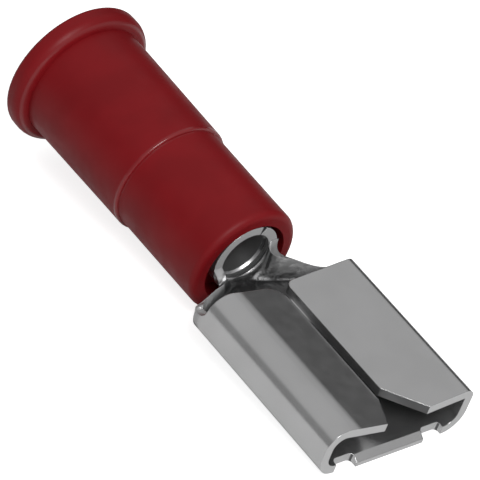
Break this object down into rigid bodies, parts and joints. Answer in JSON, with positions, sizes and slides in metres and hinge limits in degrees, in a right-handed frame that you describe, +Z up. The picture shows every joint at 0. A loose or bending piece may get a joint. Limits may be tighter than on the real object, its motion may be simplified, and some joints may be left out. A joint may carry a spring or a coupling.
{
  "type": "female spade terminal",
  "caption": "Insulated female spade terminal: a folded sheet-metal receptacle with rolled wings on a rolled crimp barrel, held in a stepped and flanged moulded sleeve.",
  "frame": {"origin": "middle of the part's footprint, on the surface that it lies on", "axes": "+Y towards the wire entry, so the mouth for the tab faces -Y; +X to the right seen from the mouth's side with the slot on top; +Z up"},
  "size_m": [0.0076, 0.023, 0.0076],
  "materials": {
    "tinned_brass": "tin plated, satin",
    "red_vinyl": "moulded, satin"
  },
  "bodies": {
    "root": {"terminal": "tinned_brass", "insulating_sleeve": "red_vinyl"}
  },
  "joints": []
}
